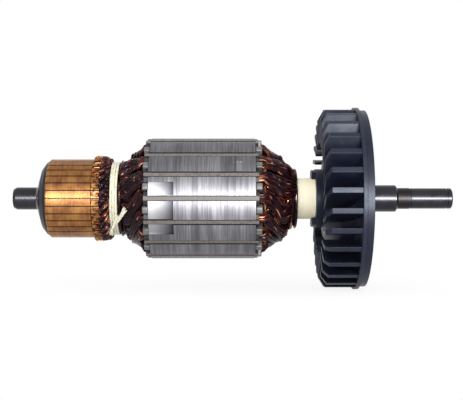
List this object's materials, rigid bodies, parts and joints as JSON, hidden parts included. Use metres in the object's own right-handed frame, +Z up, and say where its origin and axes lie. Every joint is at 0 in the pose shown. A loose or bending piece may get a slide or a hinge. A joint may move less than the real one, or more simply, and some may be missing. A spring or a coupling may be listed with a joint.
{
  "type": "motor armature",
  "caption": "Armature of a universal motor: shaft with bearing and pinion seats, copper commutator, wound slotted core with cord lacing, and a bladed cooling fan.",
  "frame": {"origin": "on the shaft's axis, at the middle of the drive-end bearing seat", "axes": "+X along the shaft towards the pinion seat and the drive end; +Z up; the rotor is turned as its balance cut faces -Y"},
  "size_m": [0.197, 0.0816, 0.0816],
  "materials": {
    "ground_steel": "ground and polished",
    "cream_resin": "satin",
    "core_steel": "turned, with fine lines between the sheets",
    "end_plate_fibre": "varnished fibre",
    "liner_paper": "matt",
    "wedge_fibre": "satin",
    "lead_wire": "enamelled copper wire",
    "cotton_cord": "woven",
    "black_resin": "satin",
    "bush_steel": "turned",
    "fan_plastic": "satin",
    "varnished_winding": "varnished enamelled copper wire",
    "commutator_copper": "turned copper, lightly tarnished"
  },
  "bodies": {
    "root": {"shaft": "ground_steel", "shaft_sleeve": "cream_resin", "lamination_stack": "core_steel", "end_plate_commutator_side": "end_plate_fibre", "end_plate_fan_side": "end_plate_fibre", "slot_liners": "liner_paper", "slot_wedges": "wedge_fibre", "coil_leads": "lead_wire", "lacing_cord": "cotton_cord", "commutator_moulding": "black_resin", "commutator_bush": "bush_steel", "cooling_fan": "fan_plastic", "coil_01": "varnished_winding", "coil_02": "varnished_winding", "coil_03": "varnished_winding", "coil_04": "varnished_winding", "coil_05": "varnished_winding", "coil_06": "varnished_winding", "coil_07": "varnished_winding", "coil_08": "varnished_winding", "coil_09": "varnished_winding", "coil_10": "varnished_winding", "coil_11": "varnished_winding", "coil_12": "varnished_winding", "coil_13": "varnished_winding", "coil_14": "varnished_winding", "coil_15": "varnished_winding", "coil_16": "varnished_winding", "commutator_bar_01": "commutator_copper", "commutator_bar_02": "commutator_copper", "commutator_bar_03": "commutator_copper", "commutator_bar_04": "commutator_copper", "commutator_bar_05": "commutator_copper", "commutator_bar_06": "commutator_copper", "commutator_bar_07": "commutator_copper", "commutator_bar_08": "commutator_copper", "commutator_bar_09": "commutator_copper", "commutator_bar_10": "commutator_copper", "commutator_bar_11": "commutator_copper", "commutator_bar_12": "commutator_copper", "commutator_bar_13": "commutator_copper", "commutator_bar_14": "commutator_copper", "commutator_bar_15": "commutator_copper", "commutator_bar_16": "commutator_copper", "commutator_bar_17": "commutator_copper", "commutator_bar_18": "commutator_copper", "commutator_bar_19": "commutator_copper", "commutator_bar_20": "commutator_copper", "commutator_bar_21": "commutator_copper", "commutator_bar_22": "commutator_copper", "commutator_bar_23": "commutator_copper", "commutator_bar_24": "commutator_copper", "commutator_bar_25": "commutator_copper", "commutator_bar_26": "commutator_copper", "commutator_bar_27": "commutator_copper", "commutator_bar_28": "commutator_copper", "commutator_bar_29": "commutator_copper", "commutator_bar_30": "commutator_copper", "commutator_bar_31": "commutator_copper", "commutator_bar_32": "commutator_copper"}
  },
  "joints": []
}
